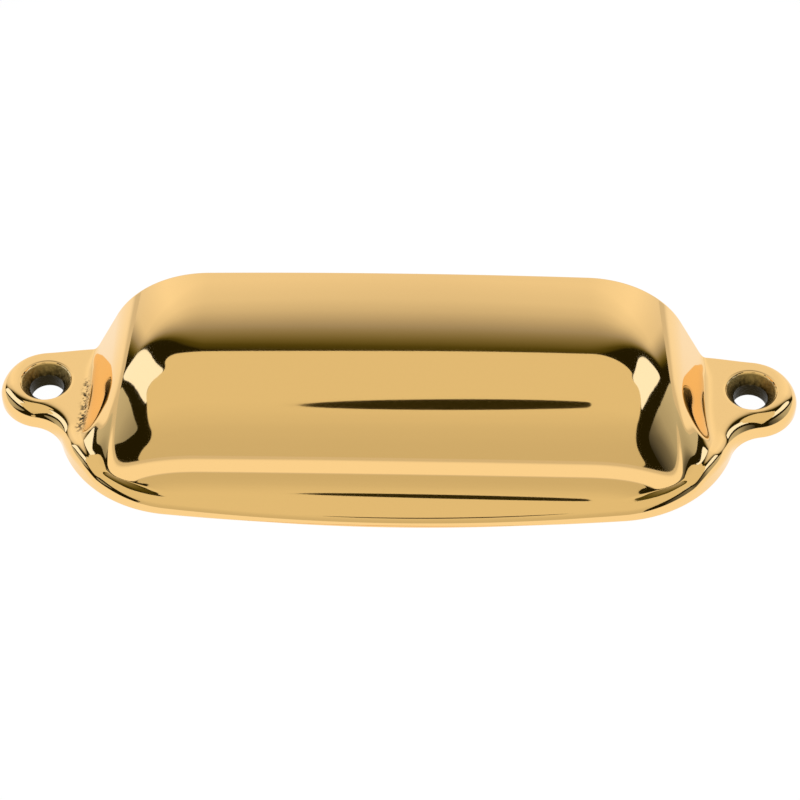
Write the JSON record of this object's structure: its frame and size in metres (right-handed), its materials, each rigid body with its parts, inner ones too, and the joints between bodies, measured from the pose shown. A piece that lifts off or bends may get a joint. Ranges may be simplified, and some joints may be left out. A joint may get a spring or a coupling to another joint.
{
  "type": "bin pull",
  "caption": "Cast bin pull for a drawer front: a half-dome finger cup open on one side, with a thin rolled flange and a round, countersunk screw ear at each end.",
  "frame": {"origin": "midway between the screw holes, on the flat mounting face", "axes": "+X along the pull from ear to ear, +Y towards the side of the finger opening, +Z out from the drawer front"},
  "size_m": [0.1006, 0.0265, 0.0176],
  "materials": {
    "polished_brass": "hand-polished and bright, with a faint wave, a few casting pits and rough metal in the holes"
  },
  "bodies": {
    "root": {"bin_pull": "polished_brass"}
  },
  "joints": []
}
